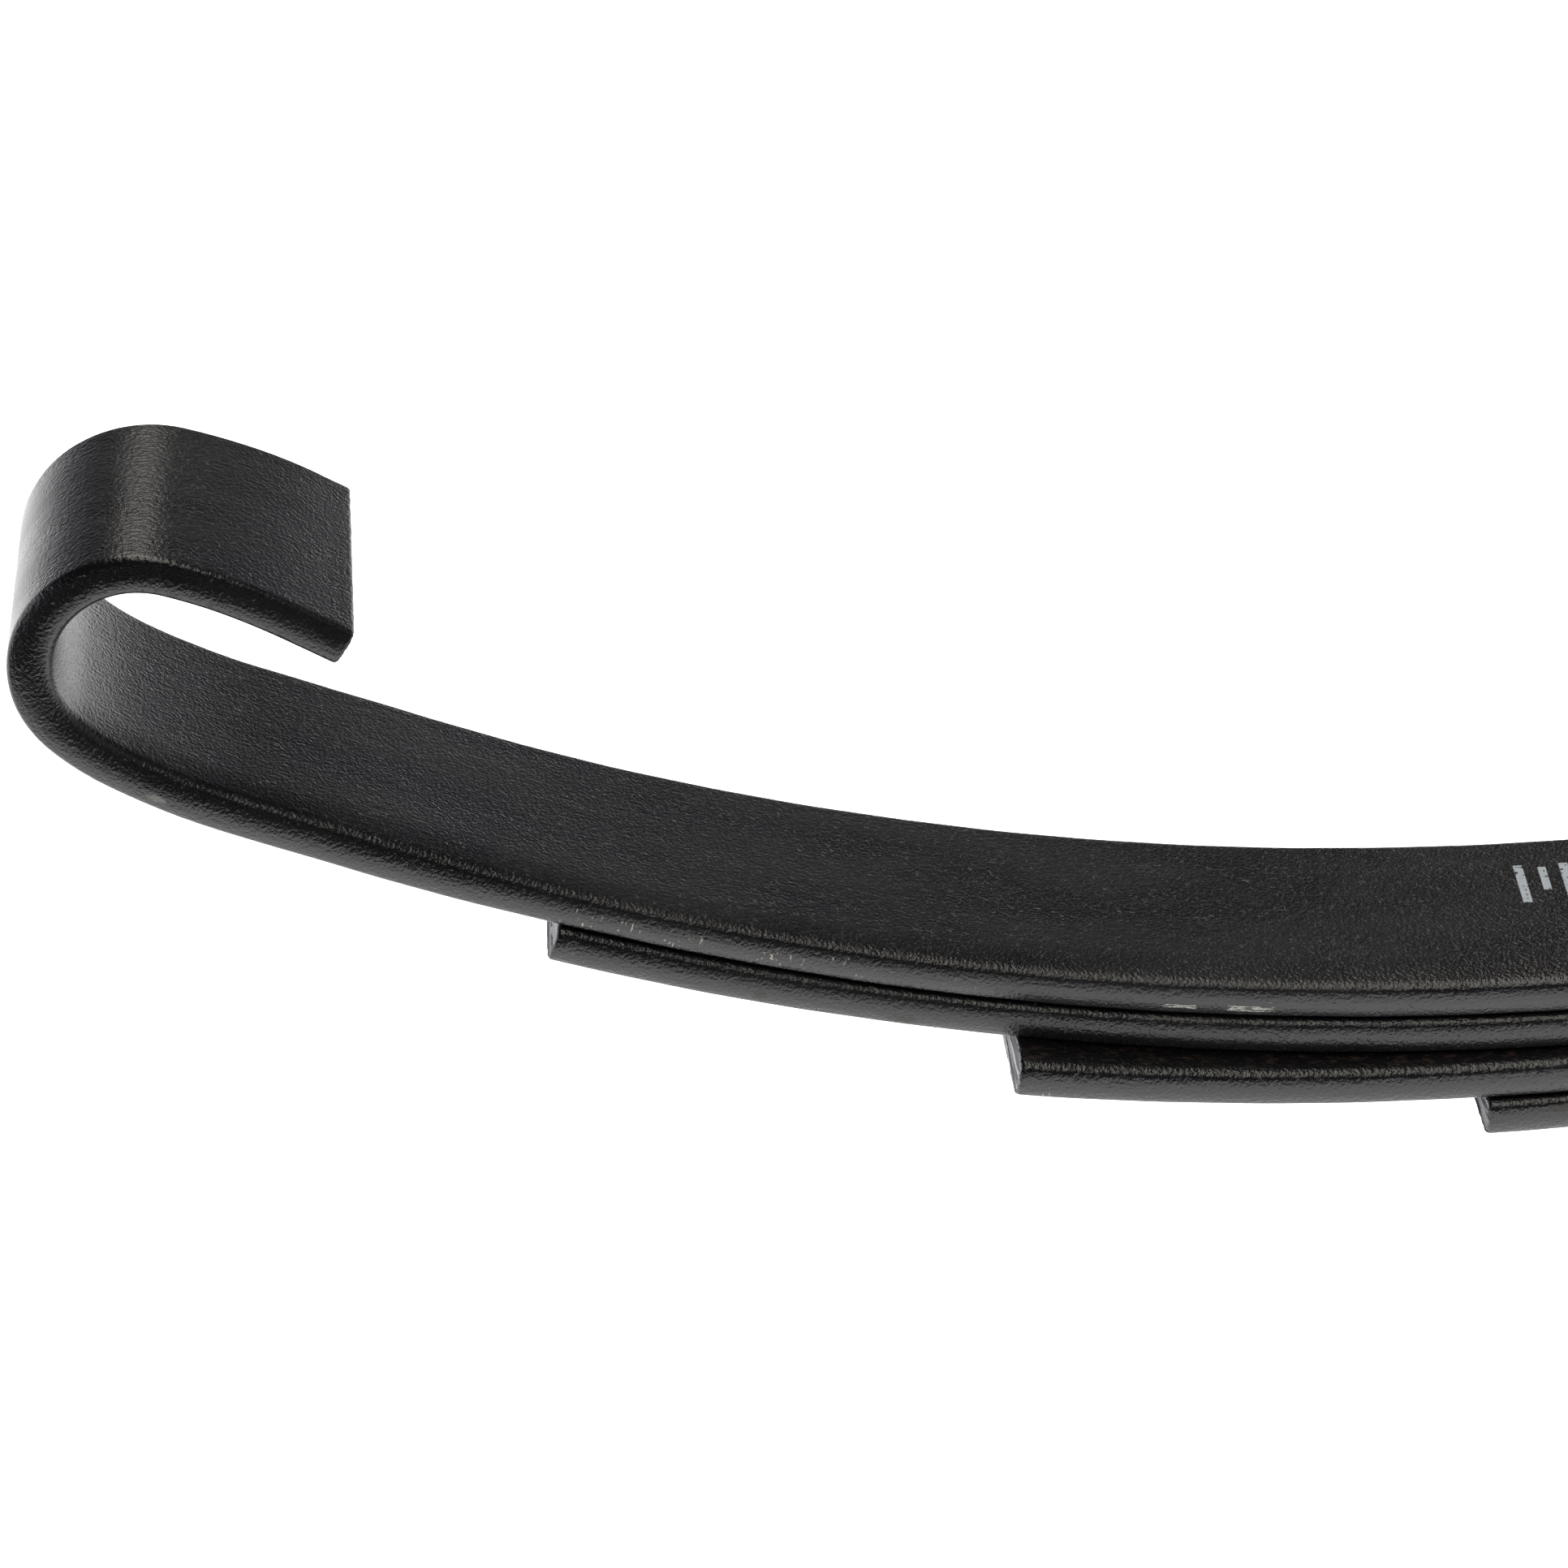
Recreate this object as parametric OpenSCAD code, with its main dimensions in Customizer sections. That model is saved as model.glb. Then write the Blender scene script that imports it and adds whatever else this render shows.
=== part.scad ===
// Multi-leaf slipper spring with an open hook at one end and a bushed eye at the other.
// Four arched leaves are stacked on one centre bolt. X runs along the spring (hook at -X, eye at
// +X), Y across its width, Z up through the centre bolt. The origin is on the bolt axis at the
// underside of the shortest leaf, which is the face that sits on the axle.

/* [Leaves] */
// Width of every leaf
leaf_w = 44.45; // [38:0.05:76.2]
// Thickness of every leaf
leaf_t = 7.25; // [5:0.05:12]
// How far the rolled edge bulges past the flat face
edge_bulge = 1.0; // [0.2:0.05:2.5]
// Radius of the main leaf's upper face in the free state
arch_r = 489; // [350:1:1200]
// Half length of leaf 2, along its arc
leaf_2_half = 250.8; // [180:0.1:300]
// Half length of leaf 3, along its arc
leaf_3_half = 172.5; // [100:0.1:220]
// Half length of leaf 4, along its arc
leaf_4_half = 92; // [60:1:140]
// Free gap between neighbouring leaves
leaf_gap = 0.2; // [0.1:0.05:1]
// Free gap between leaf 2 and leaf 3, which lie turned to each other
fan_gap = 0.35; // [0.1:0.05:1]
// Turn of leaf 3 about the centre bolt
leaf_3_turn = 2.3; // [-3:0.1:3]
// Turn of leaf 4 about the centre bolt
leaf_4_turn = 2.6; // [-3:0.1:3]

/* [Hook] */
// Angle at which the arch ends on the hook side
hook_arch = 32.1; // [20:0.1:45]
// Straight run before the hook
hook_run = 27; // [5:0.5:60]
// Inner radii of the hook's bends, from the leaf to the arm
hook_r = [120, 41.7, 14.3, 91];
// Turn of each of those bends
hook_turn = [10.1, 14.1, 151.5, 13.5];
// Straight end of the hook's arm
hook_arm = 8.6; // [2:0.5:40]

/* [Eye] */
// Centre bolt to eye centre
eye_x = 320.7; // [250:0.1:450]
// Angle at which the arch ends on the eye side
eye_arch = 34; // [20:0.5:45]
// Inner radius of the rolled eye
eye_r = 11.2; // [8:0.1:20]
// Turn of the rolled eye
eye_turn = 304; // [270:1:310]
// Bushing outside diameter
bush_d = 22.2; // [16:0.1:38]
// Bushing bore
bush_bore = 14.4; // [12:0.1:25]
// Chamfer at the bushing's ends
bush_chamfer = 0.8; // [0.2:0.1:2]

/* [Centre bolt] */
// Shank diameter
bolt_d = 9.4; // [7.8:0.1:16]
// Hole through each leaf
leaf_hole = 10; // [8:0.1:17]
// Diameter of the round locating head
head_d = 14.3; // [12:0.1:24]
// Height of the locating head
head_h = 6.4; // [4:0.1:12]
// Width of the nut across its flats
nut_af = 14.3; // [12:0.1:24]
// Height of the nut
nut_h = 8.3; // [5:0.1:14]
// Bolt end above the nut
bolt_end = 3.2; // [1:0.1:10]

/* [Hidden] */
// Heights of the leaf undersides on the bolt axis
z4 = 0;
z3 = z4 + leaf_t + leaf_gap;
z2 = z3 + leaf_t + fan_gap;
z1 = z2 + leaf_t + leaf_gap;
pack_top = z1 + leaf_t;
// Common centre of all the arches
arch_z = pack_top + arch_r;
// Radius and offset of the round that forms the rolled edge
edge_r = (leaf_t * leaf_t / 4 + edge_bulge * edge_bulge) / (2 * edge_bulge);
// Straight run that carries the eye centre out to eye_x
eye_run = (eye_x - (arch_r - eye_r) * sin(eye_arch)) / cos(eye_arch);

// How the lengths of a bent bar join: how much slimmer, and how far they run into each other
weld_inset = 0.05;
weld_lap = 1;

// A path is a list of [inner radius, turn] bends; a run is [0, length]. Every step turns upward.
function step(p, h, s) = s[0] == 0
    ? [p[0] + s[1] * cos(h), p[1] + s[1] * sin(h)]
    : [p[0] - s[0] * (sin(h) - sin(h + s[1])), p[1] + s[0] * (cos(h) - cos(h + s[1]))];
function heading(h, s) = s[0] == 0 ? h : h + s[1];

// Flat bar with rolled edges, inset by e all round: x is the thickness, outward from the inner
// face, and y the width
module bar_section(e = 0) {
    w = leaf_w / 2 - e;
    intersection() {
        translate([e, -w]) square([leaf_t - 2 * e, 2 * w]);
        union() {
            translate([e, -w + edge_bulge]) square([leaf_t - 2 * e, 2 * w - 2 * edge_bulge]);
            for (side = [-1, 1])
                translate([leaf_t / 2, side * (w - edge_r)]) circle(r = edge_r, $fn = 96);
        }
    }
}

// Bar bent to inner radius r through a turn, about the origin, from angle start
module bar_bend(r, start, turn, e = 0, lap = 0) {
    a = lap / r * 180 / PI;
    rotate([0, 0, start - a])
        rotate_extrude(angle = turn + 2 * a, $fn = r > 100 ? 720 : 120)
            translate([r, 0]) bar_section(e);
}

// Straight bar along +X with its inner face at y = 0
module bar_run(len, e = 0, lap = 0) {
    translate([-lap, 0]) rotate([-90, 0, 0]) rotate([0, 90, 0])
        linear_extrude(len + 2 * lap) bar_section(e);
}

// Bends and runs one after another, from point p at heading h, in the side plane. Every other
// one is a hair slimmer and runs a little into its neighbours, so that they join as one solid.
module bar_path(p, h, steps, i = 0) {
    s = steps[i];
    e = i % 2 == 0 ? weld_inset : 0;
    lap = i % 2 == 0 ? weld_lap : 0;
    if (s[0] == 0) translate(p) rotate([0, 0, h]) bar_run(s[1], e, lap);
    else translate([p[0] - s[0] * sin(h), p[1] + s[0] * cos(h)])
        bar_bend(s[0], h - 90, s[1], e, lap);
    if (i < len(steps) - 1) bar_path(step(p, h, s), heading(h, s), steps, i + 1);
}

// Stands a side-plane shape up, so that its width lies along Y
module upright() {
    rotate([90, 0, 0]) children();
}

// Hole for the centre bolt, through everything
module bolt_hole() {
    translate([0, 0, -5]) cylinder(h = pack_top + 10, d = leaf_hole, $fn = 64);
}

module main_leaf() {
    eye_start = [arch_r * sin(eye_arch), arch_z - arch_r * cos(eye_arch)];
    hook_start = [arch_r * sin(hook_arch), arch_z - arch_r * cos(hook_arch)];
    color([0.1, 0.1, 0.11]) difference() {
        union() {
            upright() translate([0, arch_z])
                bar_bend(arch_r, -90 - hook_arch, hook_arch + eye_arch);
            upright() bar_path(eye_start, eye_arch, [[0, eye_run], [eye_r, eye_turn]]);
            mirror([1, 0, 0]) upright()
                bar_path(hook_start, hook_arch, concat([[0, hook_run]],
                    [for (i = [0 : len(hook_r) - 1]) [hook_r[i], hook_turn[i]]],
                    [[0, hook_arm]]));
        }
        bolt_hole();
    }
}

// A plain leaf whose underside is z on the bolt axis, cut square at half its length each way
module plain_leaf(z, half, turn) {
    r = arch_z - z - leaf_t;
    a = half / (r + leaf_t / 2) * 180 / PI;
    difference() {
        rotate([0, 0, turn]) upright() translate([0, arch_z]) bar_bend(r, -90 - a, 2 * a);
        bolt_hole();
    }
}

module leaf_2() {
    color([0.11, 0.11, 0.12]) plain_leaf(z2, leaf_2_half, 0);
}

module leaf_3() {
    color([0.12, 0.11, 0.11]) plain_leaf(z3, leaf_3_half, leaf_3_turn);
}

module leaf_4() {
    color([0.11, 0.11, 0.12]) plain_leaf(z4, leaf_4_half, leaf_4_turn);
}

// Round head below the pack, which drops into the axle seat, and a shank up through the nut
module center_bolt() {
    c = 1;
    top = pack_top + 0.1 + nut_h + bolt_end;
    color([0.13, 0.13, 0.14]) rotate_extrude($fn = 96)
        polygon([[0, -head_h], [head_d / 2 - c, -head_h], [head_d / 2, c - head_h],
            [head_d / 2, 0], [bolt_d / 2, 0], [bolt_d / 2, top - c],
            [bolt_d / 2 - c, top], [0, top]]);
}

// Hexagon nut with its corners turned off, on top of the main leaf
module center_nut() {
    c = nut_af / cos(30);
    color([0.13, 0.13, 0.14]) translate([0, 0, pack_top + 0.1]) difference() {
        intersection() {
            cylinder(h = nut_h, d = c, $fn = 6);
            rotate_extrude($fn = 96)
                polygon([[0, 0], [nut_af / 2 - 0.2, 0], [c / 2, 0.7], [c / 2, nut_h - 0.7],
                    [nut_af / 2 - 0.2, nut_h], [0, nut_h]]);
        }
        translate([0, 0, -1]) cylinder(h = nut_h + 2, d = bolt_d + 0.1, $fn = 64);
    }
}

// Plastic sleeve in the eye, as long as the leaf is wide
module eye_bushing() {
    r = bush_d / 2;
    b = bush_bore / 2;
    c = bush_chamfer;
    p = step([arch_r * sin(eye_arch), arch_z - arch_r * cos(eye_arch)], eye_arch, [0, eye_run]);
    color([0.82, 0.8, 0.74])
        translate([p[0] - eye_r * sin(eye_arch), 0, p[1] + eye_r * cos(eye_arch)])
        rotate([90, 0, 0]) translate([0, 0, -leaf_w / 2])
        rotate_extrude($fn = 96)
            polygon([[b, 0], [r - c, 0], [r, c], [r, leaf_w - c], [r - c, leaf_w], [b, leaf_w]]);
}

main_leaf();
leaf_2();
leaf_3();
leaf_4();
center_bolt();
center_nut();
eye_bushing();
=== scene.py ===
import json
import math

import bmesh
import bpy
import numpy as np
from mathutils import Matrix, Vector


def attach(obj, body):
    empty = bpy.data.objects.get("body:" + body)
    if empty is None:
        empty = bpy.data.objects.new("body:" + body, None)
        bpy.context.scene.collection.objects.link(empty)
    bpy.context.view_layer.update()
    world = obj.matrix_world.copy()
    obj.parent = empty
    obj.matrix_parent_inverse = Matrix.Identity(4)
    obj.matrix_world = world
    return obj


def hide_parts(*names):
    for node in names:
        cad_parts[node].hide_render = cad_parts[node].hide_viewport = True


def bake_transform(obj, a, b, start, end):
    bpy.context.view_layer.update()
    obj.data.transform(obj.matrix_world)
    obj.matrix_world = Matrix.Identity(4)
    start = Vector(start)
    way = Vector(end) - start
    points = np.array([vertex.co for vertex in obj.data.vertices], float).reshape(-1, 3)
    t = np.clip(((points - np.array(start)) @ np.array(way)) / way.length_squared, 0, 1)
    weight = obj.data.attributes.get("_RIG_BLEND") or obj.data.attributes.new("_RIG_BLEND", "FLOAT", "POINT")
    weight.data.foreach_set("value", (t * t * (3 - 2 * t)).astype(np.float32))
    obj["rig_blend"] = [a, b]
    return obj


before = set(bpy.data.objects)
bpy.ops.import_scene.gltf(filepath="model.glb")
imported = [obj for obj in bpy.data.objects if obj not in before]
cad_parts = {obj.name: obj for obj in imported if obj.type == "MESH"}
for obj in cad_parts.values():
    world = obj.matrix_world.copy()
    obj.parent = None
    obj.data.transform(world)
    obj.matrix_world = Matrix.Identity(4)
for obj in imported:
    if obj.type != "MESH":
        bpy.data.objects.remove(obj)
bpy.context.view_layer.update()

MM = 0.001

# The part's driving sizes, in millimetres and degrees
LEAF_W, LEAF_T, BULGE = 44.45, 7.25, 1.0
LEAF_GAP, FAN_GAP = 0.2, 0.35  # between neighbours, and between leaves 2 and 3
LEAF_3_LOW = LEAF_T + LEAF_GAP
LEAF_2_LOW = LEAF_3_LOW + LEAF_T + FAN_GAP
PACK_TOP = LEAF_2_LOW + LEAF_T + LEAF_GAP + LEAF_T
ARCH_R = 489.0
ARCH_Z = PACK_TOP + ARCH_R
# Underside on the bolt axis, half length along the arc, and turn about the bolt
LEAVES = {
    "leaf_2": (LEAF_2_LOW, 250.8, 0),
    "leaf_3": (LEAF_3_LOW, 172.5, 2.3),
    "leaf_4": (0, 92, 2.6),
}
HOOK_ARCH = 32.1  # where the arch ends on the hook side
# Inner radius and turn of each bend, or 0 and the length of a straight run
HOOK_STEPS = [(0, 27), (120, 10.1), (41.7, 14.1), (14.3, 151.5), (91, 13.5), (0, 8.6)]
EYE_ARCH, EYE_R, EYE_TURN, EYE_X = 34.0, 11.2, 304, 320.7
EYE_RUN = (EYE_X - (ARCH_R - EYE_R) * math.sin(math.radians(EYE_ARCH))) / math.cos(
    math.radians(EYE_ARCH)
)
EYE_Z = (
    ARCH_Z
    - (ARCH_R - EYE_R) * math.cos(math.radians(EYE_ARCH))
    + EYE_RUN * math.sin(math.radians(EYE_ARCH))
)
LEAF_HOLE, BOLT_D, BOLT_END = 10.0, 9.4, 3.2
HEAD_D, HEAD_H = 14.3, 6.4
NUT_AF, NUT_H, NUT_GAP = 14.3, 8.3, 0.1
BUSH_D, BUSH_BORE, BUSH_CHAMFER = 22.2, 14.4, 0.8
BENT_FROM, BENT_TO = 30.0, 262.0  # the leaves bend between these distances from the bolt
SHOULDER = 6.0  # width over which the upper face falls away toward its near corner

rng = np.random.default_rng(7)


# ---------------------------------------------------------------- leaf geometry
def trail(arch, steps=(), radius=ARCH_R, pitch=2.4):
    """Stations from the centre bolt outward, as (distance, x, z, heading) on the upper face."""
    h = math.radians(arch)
    n = max(2, round(radius * h / pitch))
    out = []
    for a in np.linspace(0, h, n + 1):
        out.append((radius * a, radius * math.sin(a), ARCH_Z - radius * math.cos(a), a))
    for r, amount in steps:
        s, x, z, h = out[-1]
        if r == 0:
            for d in np.linspace(0, amount, max(2, round(amount / pitch)) + 1)[1:]:
                out.append((s + d, x + d * math.cos(h), z + d * math.sin(h), h))
            continue
        turn = math.radians(amount)
        n = max(2, round(max(r * turn / pitch, amount / 4)))
        for a in np.linspace(0, turn, n + 1)[1:]:
            out.append((
                s + (r + LEAF_T / 2) * a,
                x - r * (math.sin(h) - math.sin(h + a)),
                z + r * (math.cos(h) - math.cos(h + a)),
                h + a,
            ))
    return out


def both_ways(minus, plus):
    """One run of stations (s, x, z, normal x, normal z) from the -X end to the +X end."""
    left = [(-s, -x, z, math.sin(h), math.cos(h)) for s, x, z, h in reversed(minus)]
    right = [(s, x, z, -math.sin(h), math.cos(h)) for s, x, z, h in plus[1:]]
    return np.array(left + right)


def quarter(corner, fall=0.0):
    """A quarter of the bar's section, as (height, width) from a face's middle to the edge's. The
    face may fall away a little before its rounded corner."""
    half_w, half_t = LEAF_W / 2, LEAF_T / 2
    edge_r = (half_t**2 + BULGE**2) / (2 * BULGE)
    mid, rise = half_w - edge_r, half_t - corner
    over = math.sqrt((edge_r - corner) ** 2 - rise**2)
    lean = math.atan2(rise, over)
    bend = mid + over - SHOULDER
    flat = np.append(np.linspace(0, bend, 8), np.linspace(bend + 1, mid + over, 6))
    out = [(half_t - fall * max(0, (y - bend) / SHOULDER) ** 2, y) for y in flat[:-1]]
    for a in np.linspace(math.pi / 2 - 2 * fall / SHOULDER, lean, 9)[:-1]:
        drop = fall * (math.sin(a) - math.sin(lean)) / (1 - math.sin(lean))
        out.append((rise + corner * math.sin(a) - drop, mid + over + corner * math.cos(a)))
    for a in np.linspace(lean, 0, 7):
        out.append((edge_r * math.sin(a), mid + edge_r * math.cos(a)))
    return np.array(out)


def bar_profile(upper_far=1.5, upper_near=2.3, fall=0.3, lower=1.1):
    """Points round the bar's section: depth below the upper face, width, and distance round. Its
    upper corner is rounder on the near side, -Y."""
    below = (quarter(lower) * [-1, 1])[::-1][1:]
    far = np.vstack([quarter(upper_far), below])
    near = np.vstack([quarter(upper_near, fall), below])
    loop = np.vstack([far, (near * [1, -1])[::-1][1:-1]])
    runs = [np.append(0, np.cumsum(np.hypot(*np.diff(side, axis=0).T))) for side in (far, near)]
    return LEAF_T / 2 - loop[:, 0], loop[:, 1], np.append(runs[0], -runs[1][::-1][1:-1])


def grow(value, off, on):
    """0 at off, rising evenly to 1 at on."""
    return np.clip((value - off) / (on - off), 0, 1)


def wavy(s, size, waves):
    """Smooth seeded unevenness along the length, from waves of the given lengths."""
    out = np.zeros_like(s)
    for w in waves:
        out += np.sin(s * 2 * math.pi / w + rng.uniform(0, 6.28)) * rng.uniform(0.5, 1)
    return out * size / len(waves)


def rounded_ends(stations):
    """Adds stations close to both ends, for their rounded edges."""
    def extra(a, b):
        return np.array([a + (b - a) * d / abs(b[0] - a[0]) for d in (0.12, 0.35, 0.8)])

    first, last = stations[0], stations[-1]
    return np.vstack([
        first, extra(first, stations[1]), stations[1:-1],
        extra(last, stations[-2])[::-1], last,
    ])


def link(name, mesh):
    obj = bpy.data.objects.new(name, mesh)
    bpy.context.scene.collection.objects.link(obj)
    return obj


def leaf(name, stations, turn=0.0, rough_cut=1.0, twist=0.0, skew=0.0, hook_swell=0.0):
    """One leaf as a closed mesh swept along its stations; UV is millimetres along and round it.
    The -X end may be twisted about its own line, by an angle in degrees, cut off at a slant of
    skew across its width, and swollen on both faces where it bends."""
    stations = rounded_ends(stations)
    s, x, z, nx, nz = stations.T
    depth, width, around = bar_profile()
    half_round = around.max()
    n, m = len(s), len(depth)
    edge = np.sign(width) * np.clip(np.abs(width) / 20 - 0.2, 0, 1)
    wide = width + wavy(s, 0.16, (17, 41, 90, 230))[:, None] * edge
    from_end = s - s[0]
    inner_swell = hook_swell * grow(from_end, 177, 137)[:, None]
    outer_swell = inner_swell * grow(from_end, 45, 70)[:, None]
    down = depth[None, :] / LEAF_T
    deep = depth[None, :] + outer_swell * down - 0.5 * inner_swell * (1 - down)
    inset = np.zeros(n)
    for ring, amount in ((0, 0.42), (1, 0.2), (2, 0.05)):
        inset[ring] = inset[-1 - ring] = amount
    deep = LEAF_T / 2 + (deep - LEAF_T / 2) * (1 - inset / (LEAF_T / 2))[:, None]
    wide = wide * (1 - inset / (LEAF_W / 2))[:, None]
    along = np.zeros((n, m))
    for ring, share in ((0, 1), (1, 0.6), (-1, 1), (-2, 0.6)):
        along[ring] = rng.normal(0, 0.07 * rough_cut, m) * share
    angle = math.radians(twist) * grow(from_end, 57.6, 9.6)[:, None]
    deep, wide = (
        deep + wide * np.sin(angle),
        wide * np.cos(angle) - (deep - LEAF_T / 2) * np.sin(angle),
    )
    along += skew * grow(from_end, 14, 0)[:, None] * (wide / LEAF_W + 0.33)
    rings = np.stack([
        x[:, None] - nx[:, None] * deep + nz[:, None] * along,
        wide,
        z[:, None] - nz[:, None] * deep - nx[:, None] * along,
    ], -1)
    points, faces, uvs, kinds = [rings.reshape(-1, 3)], [], [], []
    for i in range(n - 1):
        for j in range(m):
            q = (j + 1) % m
            faces.append((i * m + j, (i + 1) * m + j, (i + 1) * m + q, i * m + q))
            a, b = around[j], around[q]
            if abs(b - a) > half_round:  # the seam, under the leaf
                a, b = (-a, b) if a > b else (a, -b)
            uvs += [(s[i], a), (s[i + 1], a), (s[i + 1], b), (s[i], b)]
            kinds.append(0)
    count = n * m
    for ring, way in ((0, -1), (n - 1, 1)):
        outer = [ring * m + j for j in range(m)]
        axis = np.array([nz[ring], 0, -nx[ring]]) * way
        heart = rings[ring].mean(0)
        at = np.stack([width, depth], -1)
        for share in (0.9, 0.72, 0.5, 0.25):
            swell = rng.normal(0, 0.06 * rough_cut, m) + 0.12 * (1 - share)
            points.append(heart + (rings[ring] - heart) * share + axis * swell[:, None])
            inner = list(range(count, count + m))
            count += m
            for j in range(m):
                q = (j + 1) % m
                faces.append((outer[j], outer[q], inner[q], inner[j]))
                uvs += [at[j], at[q], at[q] * share, at[j] * share]
                kinds.append(1)
            outer = inner
        faces.append(tuple(outer))
        uvs += list(at * 0.25)
        kinds.append(1)
    co = np.vstack(points)
    c, t = math.cos(math.radians(turn)), math.sin(math.radians(turn))
    co = np.stack([co[:, 0] * c - co[:, 1] * t, co[:, 0] * t + co[:, 1] * c, co[:, 2]], -1)
    mesh = bpy.data.meshes.new(name)
    mesh.from_pydata((co * MM).tolist(), [], faces)
    layer = mesh.uv_layers.new(name="along")
    layer.data.foreach_set("uv", np.array(uvs, np.float32).ravel())
    mesh.polygons.foreach_set("material_index", np.array(kinds, np.int32))
    tidy_mesh(mesh)
    return link(name, mesh)


def tidy_mesh(mesh, sharp=38):
    """Merges doubled points, turns the faces outward, and keeps real edges crisp."""
    work = bmesh.new()
    work.from_mesh(mesh)
    bmesh.ops.remove_doubles(work, verts=work.verts, dist=1e-7)
    bmesh.ops.recalc_face_normals(work, faces=work.faces)
    for face in work.faces:
        face.smooth = True
    for edge in work.edges:
        edge.smooth = edge.calc_face_angle(0) < math.radians(sharp)
    work.to_mesh(mesh)
    work.free()


def turned(name, outline, segments=64):
    """A closed solid of revolution about Z from (radius, height) points, in millimetres."""
    verts, faces = [], []
    m = len(outline)
    for k in range(segments):
        a = 2 * math.pi * k / segments
        verts += [(r * math.cos(a) * MM, r * math.sin(a) * MM, h * MM) for r, h in outline]
        q = (k + 1) % segments
        for j in range(m):
            p = (j + 1) % m
            if outline[j][0] > 0 or outline[p][0] > 0:
                faces.append((k * m + j, q * m + j, q * m + p, k * m + p))
    mesh = bpy.data.meshes.new(name)
    mesh.from_pydata(verts, [], faces)
    tidy_mesh(mesh, 30)
    return link(name, mesh)


def rounded(outline, r, steps=4):
    """The same (radius, height) outline with its corners away from the axis rounded."""
    out = []
    for k, p in enumerate(outline):
        a, b = outline[k - 1], outline[(k + 1) % len(outline)]
        p, a, b = Vector(p), Vector(a), Vector(b)
        if p.x <= 0 or min((a - p).length, (b - p).length) < 2 * r:
            out.append(tuple(p))
            continue
        for t in np.linspace(0, 1, steps + 1):
            u, v = (a - p).normalized() * r, (b - p).normalized() * r
            out.append(tuple(p + u * (1 - t) ** 2 + v * t**2))
    return out


def cut(obj, tool, operation="DIFFERENCE"):
    """Cuts tool out of obj, or keeps only what both share, and removes tool."""
    change = obj.modifiers.new("cut", "BOOLEAN")
    change.operation, change.object, change.solver = operation, tool, "EXACT"
    bpy.context.view_layer.update()
    old = obj.data
    done = bpy.data.meshes.new_from_object(
        obj.evaluated_get(bpy.context.evaluated_depsgraph_get())
    )
    obj.modifiers.clear()
    obj.data = done
    done.name = obj.name
    bpy.data.meshes.remove(old)
    bpy.data.objects.remove(tool)


def bend_with_travel(obj):
    """The middle stays with the pack and both ends go with the eye and hook, smoothly between."""
    weights = np.zeros(len(obj.data.vertices), np.float32)
    for side in (-1, 1):
        start, end = (side * BENT_FROM * MM, 0, 0), (side * BENT_TO * MM, 0, 0)
        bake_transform(obj, "pack", "ends", start=start, end=end)
        one = np.zeros_like(weights)
        obj.data.attributes["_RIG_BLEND"].data.foreach_get("value", one)
        weights += one
    obj.data.attributes["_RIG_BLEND"].data.foreach_set("value", weights)


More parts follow.
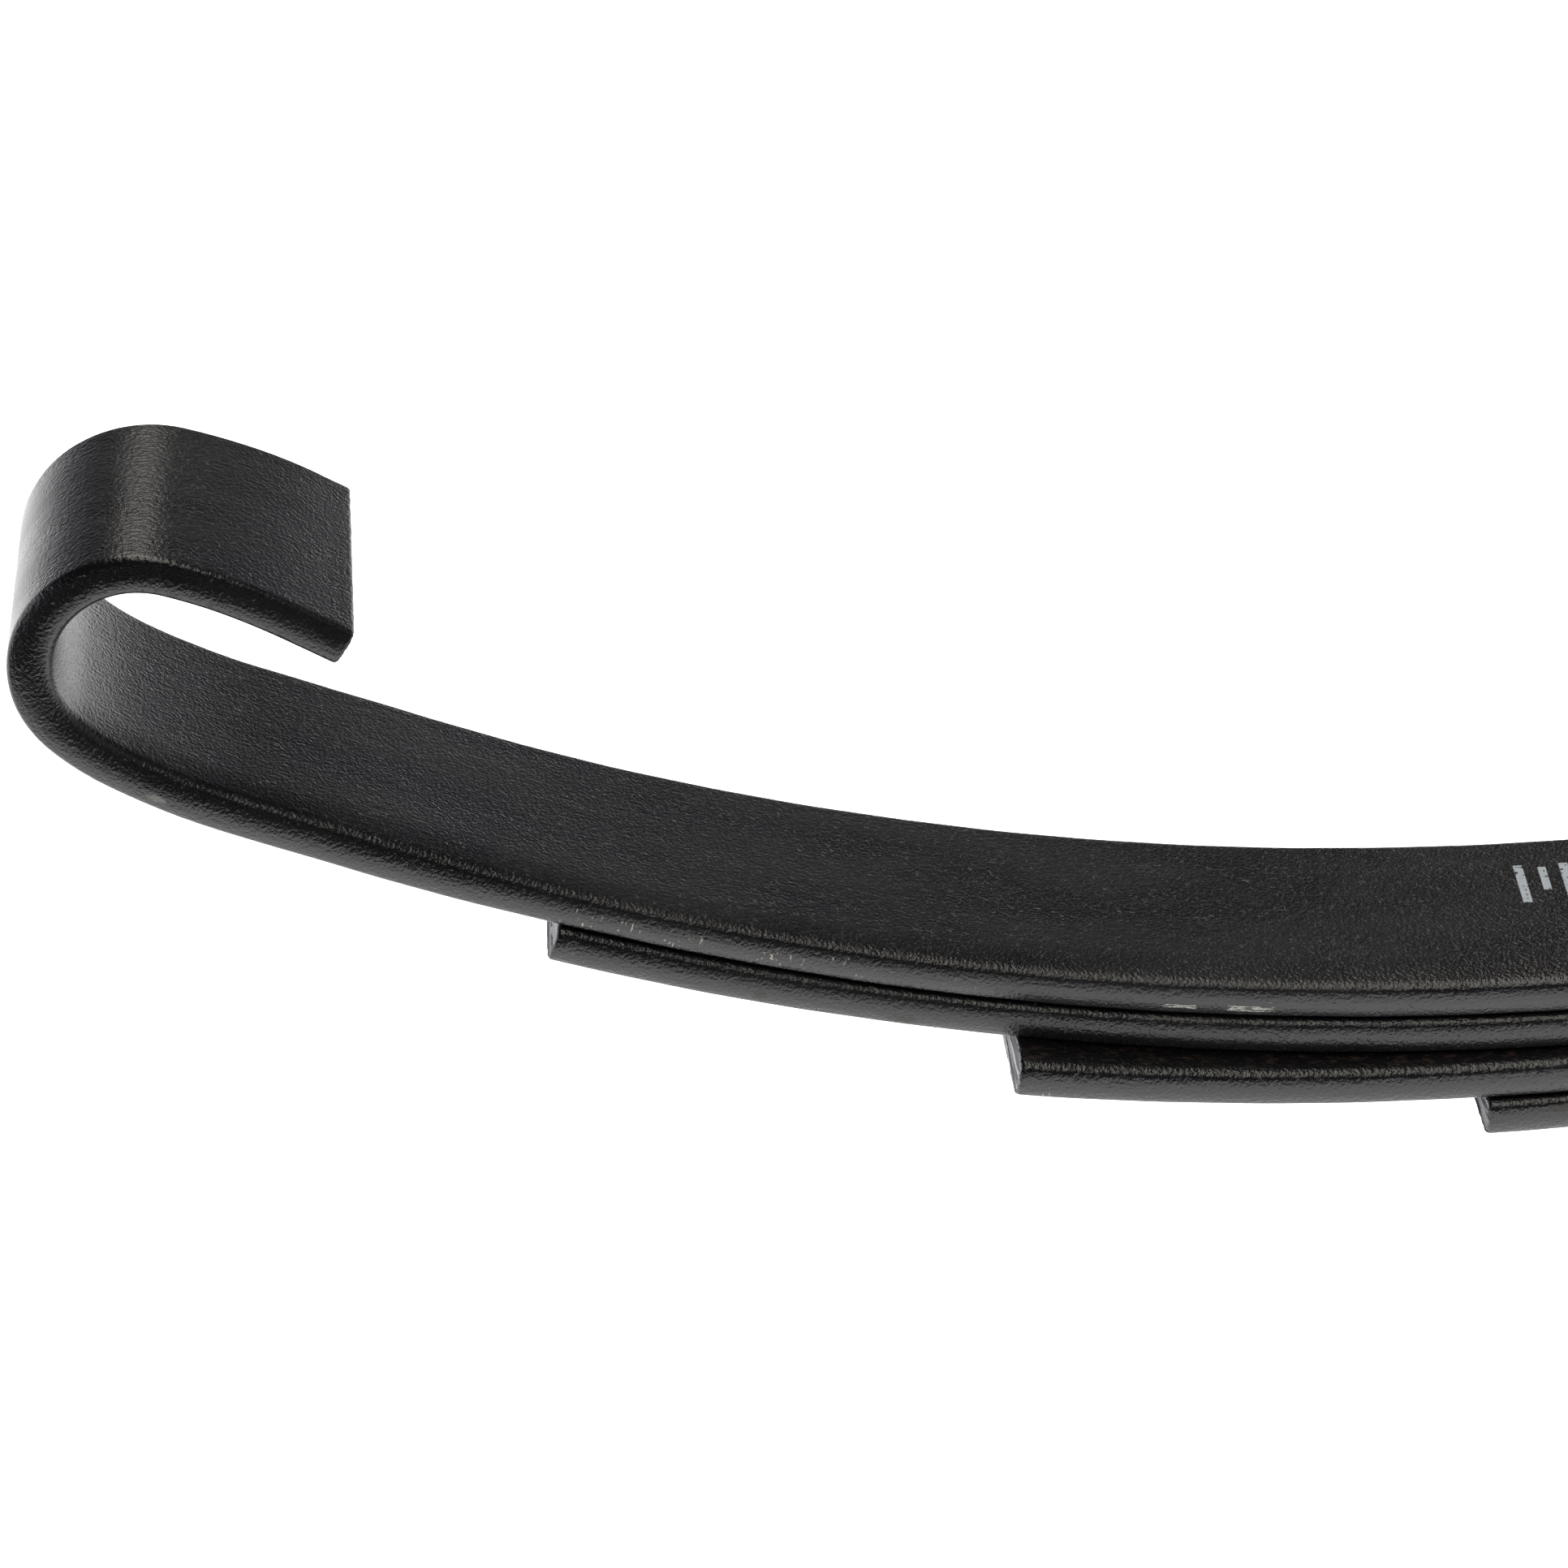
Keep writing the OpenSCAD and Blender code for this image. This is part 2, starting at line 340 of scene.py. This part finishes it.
# ---------------------------------------------------------------- materials
class Nodes:
    """A short way to write a node tree."""

    def __init__(self, name):
        self.material = bpy.data.materials.new(name)
        self.material.use_nodes = True
        self.tree = self.material.node_tree
        self.tree.nodes.clear()

    def add(self, kind, values=None, **settings):
        node = self.tree.nodes.new(kind)
        for key, value in settings.items():
            setattr(node, key, value)
        for key, value in (values or {}).items():
            self.put(node.inputs[key], value)
        return node

    def put(self, socket, value):
        if isinstance(value, bpy.types.NodeSocket):
            self.tree.links.new(value, socket)
        else:
            socket.default_value = value

    def math(self, operation, a, b=None, clamp=False):
        node = self.add("ShaderNodeMath", operation=operation, use_clamp=clamp)
        self.put(node.inputs[0], a)
        if b is not None:
            self.put(node.inputs[1], b)
        return node.outputs[0]

    def band(self, value, low, high, soft):
        """1 between low and high, fading over soft on both sides."""
        up = self.add("ShaderNodeMapRange", {0: value, 1: low - soft, 2: low, 3: 0.0, 4: 1.0})
        down = self.add("ShaderNodeMapRange", {0: value, 1: high, 2: high + soft, 3: 1.0, 4: 0.0})
        return self.math("MULTIPLY", up.outputs[0], down.outputs[0])

    def ramp(self, value, low, high):
        return self.add(
            "ShaderNodeMapRange", {0: value, 1: low, 2: high, 3: 0.0, 4: 1.0},
            interpolation_type="SMOOTHSTEP",
        ).outputs[0]

    def mix(self, share, a, b):
        node = self.add("ShaderNodeMix", data_type="RGBA")
        self.put(node.inputs[0], share)
        for socket, value in ((node.inputs[6], a), (node.inputs[7], b)):
            if isinstance(value, (tuple, list)):
                value = (*value, 1.0)[:4]
            self.put(socket, value)
        return node.outputs[2]

    def mix_value(self, share, a, b):
        node = self.add("ShaderNodeMix", data_type="FLOAT")
        for socket, value in zip(node.inputs[:4], (share, None, a, b)):
            if value is not None:
                self.put(socket, value)
        return node.outputs[0]

    def noise(self, at, size, detail=2.0, stretch=(1, 1, 1), roughness=0.5, offset=0.0):
        """Noise with features about size across; at is in the same units."""
        scaled = self.add(
            "ShaderNodeMapping", {"Vector": at, "Location": (offset, offset * 0.7, offset * 1.3),
                                  "Scale": tuple(c / size for c in stretch)})
        return self.add(
            "ShaderNodeTexNoise",
            {"Vector": scaled.outputs[0], "Scale": 1.0, "Detail": detail, "Roughness": roughness},
            noise_dimensions="3D",
        ).outputs[0]

    def cells(self, at, size, stretch=(1, 1, 1), offset=0.0):
        """Distance to the nearest cell centre and that cell's random colour."""
        scaled = self.add(
            "ShaderNodeMapping", {"Vector": at, "Location": (offset, offset * 0.7, offset * 1.3),
                                  "Scale": tuple(c / size for c in stretch)})
        node = self.add("ShaderNodeTexVoronoi", {"Vector": scaled.outputs[0], "Scale": 1.0})
        return node.outputs["Distance"], node.outputs["Color"]

    def surface(self, color, roughness, heights=(), specular=0.5):
        """Finishes the tree with a shader and bumps of (height, millimetres), and returns it."""
        normal = None
        for height, distance in heights:
            bump = self.add("ShaderNodeBump", {"Height": height, "Distance": distance * MM,
                                               "Strength": 1.0})
            if normal is not None:
                self.put(bump.inputs["Normal"], normal)
            normal = bump.outputs[0]
        values = {"Base Color": color if not isinstance(color, tuple) else (*color, 1.0),
                  "Roughness": roughness, "Specular IOR Level": specular}
        if normal is not None:
            values["Normal"] = normal
        shader = self.add("ShaderNodeBsdfPrincipled", values)
        out = self.add("ShaderNodeOutputMaterial")
        self.tree.links.new(shader.outputs[0], out.inputs[0])
        return self.material


def leaf_paint(name, seed, rust=0.0, chips=(), smears=(), scuffs=(), bars=()):
    """Satin black paint over rolled steel. Chips, smears, scuffs and bars are places on the leaf,
    in millimetres along it from the bolt and round it from the middle of its upper face: from
    and to both ways and how many for chips, the same for smears, the middle and half sizes and
    strength for scuffs, and the middle and both sizes for bars."""
    n = Nodes(name)
    uv = n.add("ShaderNodeUVMap", uv_map="along").outputs[0]
    along, around, _ = n.add("ShaderNodeSeparateXYZ", {0: uv}).outputs
    edge = n.math("ABSOLUTE", around)

    grain = n.noise(uv, 0.62, 2.0, offset=seed)
    peel = n.noise(uv, 1.1, 2.0, stretch=(0.8, 1, 1), offset=seed + 1)
    lines = n.noise(uv, 0.5, 2.0, stretch=(0.02, 1, 1), offset=seed + 3)
    coarse = n.noise(uv, 14.0, 3.0, stretch=(0.35, 1, 1), offset=seed + 5)
    push = n.add("ShaderNodeTexNoise", {"Vector": uv, "Scale": 0.9}).outputs[1]
    push = n.add("ShaderNodeVectorMath", {0: push, 1: (2.2, 2.2, 0)}, operation="MULTIPLY")
    pushed = n.add("ShaderNodeVectorMath", {0: uv, 1: push.outputs[0]}, operation="ADD")
    dist, pick = n.cells(pushed.outputs[0], 1.25, stretch=(0.85, 1.2, 1), offset=seed)
    chance, depth, _ = n.add("ShaderNodeSeparateColor", {0: pick}).outputs
    pit = n.math("MULTIPLY", n.ramp(dist, 0.28, 0.08), n.ramp(chance, 0.35, 0.65))
    pit = n.math("MULTIPLY", pit, n.mix_value(depth, 0.4, 1.0))

    # Bare and dusty specks, sparse on the faces and crowded along the upper corner and the edge, where they
    # are a painted warm granular highlight on the ridge
    grit = n.noise(uv, 0.5, 2.0, stretch=(0.7, 1, 1), offset=seed + 11)
    patches = n.noise(uv, 22.0, 2.0, stretch=(0.6, 1, 1), offset=seed + 13)
    specks_and_ridge_glints = n.math("MULTIPLY", n.ramp(grit, 0.68, 0.76), n.ramp(patches, 0.38, 0.62))
    # The corner and edge band crowds the specks there: painted ridge highlight
    specks_and_ridge_glints = n.math("MULTIPLY", specks_and_ridge_glints, n.mix_value(n.band(edge, 20.5, 28.0, 1.0), 0.12, 0.8))
    color = n.mix(n.ramp(coarse, 0.3, 0.7), (0.0040, 0.0040, 0.0054), (0.0068, 0.0067, 0.0082))
    # Warm grey specks: partly dust, partly painted highlight glints along the ridge
    color = n.mix(specks_and_ridge_glints, color, (0.20, 0.17, 0.13))
    rough = n.mix_value(n.ramp(coarse, 0.35, 0.65), 0.25, 0.31)
    rough = n.mix_value(specks_and_ridge_glints, rough, 0.7)

    # Thin rust where the upper face is half covered by the leaf above
    stain = n.ramp(n.noise(uv, 1.4, 5.0, stretch=(0.5, 1, 1), roughness=0.7, offset=seed + 17),
                   0.48, 0.72)
    stain = n.math("MULTIPLY", stain, n.band(edge, 4.0, 19.5, 1.0))
    stain = n.math("MULTIPLY", stain, rust)
    color = n.mix(stain, color, (0.034, 0.015, 0.006))
    rough = n.mix_value(stain, rough, 0.8)

    heights = [(lines, 0.020), (peel, 0.070), (grain, 0.150),
               (n.math("SUBTRACT", 1.0, pit), 0.060), (coarse, 0.2)]
    for u0, u1, v0, v1, share in chips:
        where = n.math("MULTIPLY", n.band(along, u0, u1, 4.0), n.band(around, v0, v1, 0.7))
        flake = n.noise(uv, 1.3, 3.0, stretch=(1.8, 0.6, 1), roughness=0.6, offset=seed + u0)
        chip = n.math("MULTIPLY", where, n.ramp(flake, 0.72 - 0.12 * share, 0.75 - 0.12 * share))
        color = n.mix(n.math("MULTIPLY", chip, 0.85), color, (0.52, 0.48, 0.39))
        rough = n.mix_value(chip, rough, 0.8)
        heights.append((n.math("SUBTRACT", 1.0, chip), 0.05))
    for u0, u1, v0, v1 in smears:
        where = n.math("MULTIPLY", n.band(along, u0, u1, 2.5), n.band(around, v0, v1, 0.45))
        streak = n.noise(uv, 0.6, 4.0, stretch=(0.35, 2.0, 1), roughness=0.75, offset=seed + u0)
        smear = n.ramp(n.math("MULTIPLY", where, streak), 0.47, 0.56)
        color = n.mix(n.math("MULTIPLY", smear, 0.9), color, (0.50, 0.49, 0.44))
        rough = n.mix_value(smear, rough, 0.8)
    for u0, v0, long, wide, strength in scuffs:
        reach = n.math("SQRT", n.math(
            "ADD",
            n.math("POWER", n.math("DIVIDE", n.math("SUBTRACT", along, u0), long), 2.0),
            n.math("POWER", n.math("DIVIDE", n.math("SUBTRACT", around, v0), wide), 2.0)))
        fray = n.noise(uv, 0.8, 3.0, roughness=0.7, offset=seed + v0)
        area = n.ramp(n.math("SUBTRACT", n.math("MULTIPLY", fray, 1.6), reach), 0.05, 0.45)
        color = n.mix(n.math("MULTIPLY", area, strength), color, (0.24, 0.23, 0.20))
        rough = n.mix_value(area, rough, 0.7)
    for u0, v0, long, wide in bars:
        bar = n.math("MULTIPLY", n.band(along, u0 - wide / 2, u0 + wide / 2, 0.12),
                     n.band(around, v0 - long / 2, v0 + long / 2, 0.12))
        bar = n.math("MULTIPLY", bar, n.ramp(n.noise(uv, 0.8, 3.0, offset=seed + u0), 0.66, 0.58))
        color = n.mix(n.math("MULTIPLY", bar, 0.9), color, (0.50, 0.56, 0.62))
        rough = n.mix_value(bar, rough, 0.6)
        heights.append((bar, 0.03))
    return n.surface(color, rough, heights, specular=0.5)


def cut_steel(name, tone, dark, seed, rough_below):
    """A sheared end: a smooth upper part and a torn part below, thinly painted."""
    n = Nodes(name)
    at = n.add("ShaderNodeUVMap", uv_map="along").outputs[0]
    _, depth, _ = n.add("ShaderNodeSeparateXYZ", {0: at}).outputs
    tear = n.noise(at, 1.3, 4.0, stretch=(0.25, 1, 1), roughness=0.65, offset=seed)
    grain = n.noise(at, 0.4, 2.0, offset=seed + 2)
    torn = n.ramp(n.math("ADD", depth, n.math("MULTIPLY", tear, 1.5)),
                  rough_below + 0.5, rough_below + 1.0)
    hole = n.math("MULTIPLY", n.ramp(tear, 0.60, 0.70), n.mix_value(torn, 0.08, 0.9))
    color = n.mix(torn, tone, tuple(c * 0.7 for c in tone))
    color = n.mix(hole, color, dark)
    return n.surface(color, n.mix_value(torn, 0.5, 0.7),
                     [(n.math("MULTIPLY", tear, torn), 0.35), (grain, 0.05)], specular=0.4)


def plain_paint(name, seed):
    n = Nodes(name)
    place = n.add("ShaderNodeTexCoord").outputs["Object"]
    mm = n.add("ShaderNodeVectorMath", {0: place, 1: (1000, 1000, 1000)}, operation="MULTIPLY")
    peel = n.noise(mm.outputs[0], 0.9, 3.0, offset=seed)
    patch = n.noise(mm.outputs[0], 4.0, 3.0, offset=seed + 1)
    color = n.mix(n.ramp(patch, 0.4, 0.7), (0.012, 0.012, 0.0135), (0.028, 0.025, 0.022))
    rough = n.mix_value(patch, 0.35, 0.5)
    return n.surface(color, rough, [(peel, 0.05)])


def nylon(name):
    n = Nodes(name)
    place = n.add("ShaderNodeTexCoord").outputs["Object"]
    mm = n.add("ShaderNodeVectorMath", {0: place, 1: (1000, 1000, 1000)}, operation="MULTIPLY")
    cloud = n.noise(mm.outputs[0], 6.0, 3.0)
    fine = n.noise(mm.outputs[0], 0.5, 2.0)
    color = n.mix(cloud, (0.60, 0.57, 0.49), (0.70, 0.68, 0.60))
    return n.surface(color, n.mix_value(fine, 0.42, 0.55), [(fine, 0.02)])


# ---------------------------------------------------------------- the pieces
def place_leaf(obj, paint, cut_face):
    past = 5
    hole = turned("hole", [(0, -past), (LEAF_HOLE / 2, -past), (LEAF_HOLE / 2, PACK_TOP + past),
                           (0, PACK_TOP + past)], segments=48)
    obj.data.materials.append(paint)
    obj.data.materials.append(cut_face)
    cut(obj, hole)
    tidy_mesh(obj.data)
    bend_with_travel(obj)
    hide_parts(obj.name.removesuffix("_look"))


hook_side = trail(HOOK_ARCH, HOOK_STEPS)
eye_side = trail(EYE_ARCH, [(0, EYE_RUN), (EYE_R, EYE_TURN)])
main = leaf("main_leaf_look", both_ways(hook_side, eye_side), twist=3.0, skew=2.4,
            hook_swell=0.55)
place_leaf(
    main,
    leaf_paint(
        "main_leaf_paint", 0.0,
        chips=[(-262, -243, -26.5, -23.6, 0.3), (-243, -222, -27.2, -24.4, 0.8),
               (-222, -196, -26.6, -23.6, 0.55), (-196, -150, -27.5, -25.5, 0.1)],
        smears=[(-142.5, -137, -26.6, -25.8), (-131, -123.5, -26.8, -25.6)],
        scuffs=[(-418, 29.5, 3.6, 2.6, 0.95), (-421, -29.0, 3.0, 2.4, 0.85),
                (-316, -26.0, 2.6, 0.9, 0.8)],
        bars=[(-76.3, 7.6, 11.5, 1.5), (-72.2, 9.0, 7.0, 1.3), (-68.3, 7.6, 11.5, 1.5)],
    ),
    cut_steel("main_leaf_cut", (0.12, 0.12, 0.125), (0.03, 0.03, 0.03), 3.0, 9.0),
)
PAINTS = {
    "leaf_2": dict(rust=0.2, chips=[(-216, -184, -28.5, -25.0, 0.0)],
                   scuffs=[(-213, -26.0, 2.4, 2.2, 0.16), (-188, -26.5, 5.0, 1.6, 0.14)]),
    "leaf_3": dict(rust=0.75, chips=[(-173, -168, -28.5, -25.5, 0.6)]),
    "leaf_4": dict(rust=0.3, scuffs=[(-78, -23.0, 8.0, 1.2, 0.12)]),
}
ENDS = {"leaf_2": (0.25, 0.25, 0.26), "leaf_3": (0.30, 0.30, 0.31), "leaf_4": (0.24, 0.24, 0.25)}
for i, (node, (low, half, turn)) in enumerate(LEAVES.items()):
    radius = ARCH_Z - low - LEAF_T
    side = trail(math.degrees(half / (radius + LEAF_T / 2)), radius=radius)
    place_leaf(
        leaf(node + "_look", both_ways(side, side), turn, rough_cut=(0.6, 1.5, 2.0)[i]),
        leaf_paint(node + "_paint", 20.0 + 9 * i, **PAINTS[node]),
        cut_steel(node + "_cut", ENDS[node], (0.05, 0.045, 0.04), 5.0 + i, (4.2, 7.5, 1.5)[i]),
    )

nut_low = PACK_TOP + NUT_GAP
nut_top = nut_low + NUT_H
top = nut_top + BOLT_END
shank, head = BOLT_D / 2, HEAD_D / 2
pitch = 1.27
outline = rounded([(0, -HEAD_H), (head - 1, -HEAD_H), (head, 1 - HEAD_H), (head, 0)], 0.3)
outline += [(shank, 0), (shank, nut_low - 0.5)]
for low in np.arange(nut_low - 0.5, top - 2.3, pitch):
    crest, root = shank - 0.04, shank - 0.55
    outline += [(crest, low + 0.16), (root, low + 0.6), (root, low + 0.7), (crest, low + 1.14)]
outline += [(shank, top - 1.0), (shank - 0.9, top), (0, top)]
bolt = turned("center_bolt_look", outline, segments=96)
bolt.data.materials.append(plain_paint("bolt_paint_look", 31.0))
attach(bolt, "pack")
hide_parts("center_bolt")

corner, face, bore = NUT_AF / math.sqrt(3), NUT_AF / 2 - 0.2, BOLT_D / 2 + 0.05
below, above = nut_low - 10, nut_top + 10
nut = turned("center_nut_look", [(0, nut_low), (face, nut_low), (corner, nut_low + 0.7),
                                 (corner, nut_top - 0.7), (face, nut_top), (0, nut_top)],
             segments=96)
cut(nut, turned("hexagon", [(0, below), (corner, below), (corner, above), (0, above)],
                segments=6), "INTERSECT")
cut(nut, turned("nut_hole", [(0, below), (bore, below), (bore, nut_top - 0.5),
                             (bore + 1.15, nut_top + 0.7), (0, nut_top + 0.7)], segments=64))
tidy_mesh(nut.data, 20)
nut.data.materials.clear()
nut.data.materials.append(plain_paint("nut_paint_look", 37.0))
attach(nut, "pack")
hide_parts("center_nut")

half, outer, inner = LEAF_W / 2, BUSH_D / 2, BUSH_BORE / 2
sleeve = rounded([(inner, -half), (outer - BUSH_CHAMFER, -half), (outer, BUSH_CHAMFER - half),
                  (outer, half - BUSH_CHAMFER), (outer - BUSH_CHAMFER, half), (inner, half)],
                 0.25)
bushing = turned("eye_bushing_look", sleeve, segments=96)
bushing.data.transform(Matrix.Translation((EYE_X * MM, 0, EYE_Z * MM))
                       @ Matrix.Rotation(math.pi / 2, 4, "X"))
tidy_mesh(bushing.data, 30)
bushing.data.materials.append(nylon("nylon_look"))
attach(bushing, "ends")
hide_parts("eye_bushing")

# ---------------------------------------------------------------- CAD nodes' own finishes
for node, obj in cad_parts.items():
    obj.data.materials.clear()
    look = "nylon_look" if node == "eye_bushing" else "bolt_paint_look"
    obj.data.materials.append(bpy.data.materials[look])


# ---------------------------------------------------------------- floor, light and camera
def floor_material():
    n = Nodes("floor_look")
    place = n.add("ShaderNodeTexCoord").outputs["Object"]
    cloud = n.noise(place, 0.4, 2.0)
    color = n.mix(cloud, (0.30, 0.30, 0.30), (0.32, 0.32, 0.32))
    n.surface(color, 0.9, specular=0.1)
    shader = next(x for x in n.tree.nodes if x.type == "BSDF_PRINCIPLED")
    shader.inputs["Emission Color"].default_value = (1, 1, 1, 1)
    shader.inputs["Emission Strength"].default_value = 1.9
    return n.material


mesh = bpy.data.meshes.new("floor")
mesh.from_pydata([(-6, -6, 0), (6, -6, 0), (6, 6, 0), (-6, 6, 0)], [], [(0, 1, 2, 3)])
floor = link("floor", mesh)
floor.location.z = -0.0064
floor.data.materials.append(floor_material())


def softbox(name, power, size, place, aim=(-0.1, 0, 0.06), color=(1, 1, 1)):
    data = bpy.data.lights.new(name, "AREA")
    data.energy, data.color = power, color
    data.shape, data.size, data.size_y = "RECTANGLE", *size
    lamp = bpy.data.objects.new(name, data)
    bpy.context.scene.collection.objects.link(lamp)
    lamp.location = place
    lamp.rotation_euler = (Vector(aim) - Vector(place)).to_track_quat("-Z", "Y").to_euler()


softbox("overhead", 32, (3.8, 0.6), (0.15, 0.05, 1.6), color=(1, 0.96, 0.88))

# A black card in front keeps the near faces dark above the floor's bright reflection
mesh = bpy.data.meshes.new("black_card")
mesh.from_pydata([(-2, -3, 0), (2, -3, 0), (2, -0.2, 0), (-2, -0.2, 0)], [], [(0, 1, 2, 3)])
card = link("black_card", mesh)
card.location.z = -0.004
n = Nodes("black_card")
n.surface(n.mix(n.noise(n.add("ShaderNodeTexCoord").outputs["Object"], 0.3),
                (0.004, 0.004, 0.004), (0.006, 0.006, 0.006)), 0.9, specular=0.1)
card.data.materials.append(n.material)
card.visible_camera = False


def studio():
    """Dark in front and above, grey low behind, with bright low panels to both sides."""
    world = bpy.data.worlds.new("studio")
    bpy.context.scene.world = world
    world.use_nodes = True
    tree = world.node_tree
    tree.nodes.clear()

    def fade(value, low, high, start, end):
        node = tree.nodes.new("ShaderNodeMapRange")
        node.interpolation_type = "SMOOTHSTEP"
        tree.links.new(value, node.inputs[0])
        for k, number in enumerate((low, high, start, end)):
            node.inputs[k + 1].default_value = number
        return node.outputs[0]

    def combine(operation, a, b):
        node = tree.nodes.new("ShaderNodeMath")
        node.operation = operation
        tree.links.new(a, node.inputs[0])
        tree.links.new(b, node.inputs[1])
        return node.outputs[0]

    way = tree.nodes.new("ShaderNodeTexCoord").outputs["Generated"]
    split = tree.nodes.new("ShaderNodeSeparateXYZ")
    tree.links.new(way, split.inputs[0])
    x, y, z = split.outputs
    behind = combine("MULTIPLY", fade(z, 0.12, 0.46, 0.5, 0.012), fade(y, -0.2, 0.3, 0.05, 1.0))
    left = combine("MULTIPLY", fade(x, -0.95, -0.6, 2.6, 0.0), fade(z, 0.25, 0.6, 1.0, 0.0))
    right = combine("MULTIPLY", fade(x, 0.6, 0.95, 0.0, 0.45), fade(z, 0.25, 0.6, 1.0, 0.0))
    sky = tree.nodes.new("ShaderNodeBackground")
    sky.inputs[0].default_value = (0.94, 0.94, 1.0, 1)
    tree.links.new(combine("ADD", combine("ADD", left, right), behind), sky.inputs[1])
    tree.links.new(sky.outputs[0], tree.nodes.new("ShaderNodeOutputWorld").inputs[0])


studio()

camera = bpy.data.objects.new("camera", bpy.data.cameras.new("camera"))
bpy.context.scene.collection.objects.link(camera)
bpy.context.scene.camera = camera
camera.data.lens, camera.data.sensor_width = 130.43, 36
camera.data.clip_start, camera.data.clip_end = 0.05, 20
right, up, back = ((0.98152, -0.05810, -0.18234), (0.18467, 0.53753, 0.82277),
                   (0.05021, -0.84124, 0.53833))
camera.matrix_world = Matrix.Translation((-0.14967, -0.81103, 0.60826)) @ Matrix(
    (right, up, back)).transposed().to_4x4()
bpy.context.scene.view_settings.view_transform = "Standard"
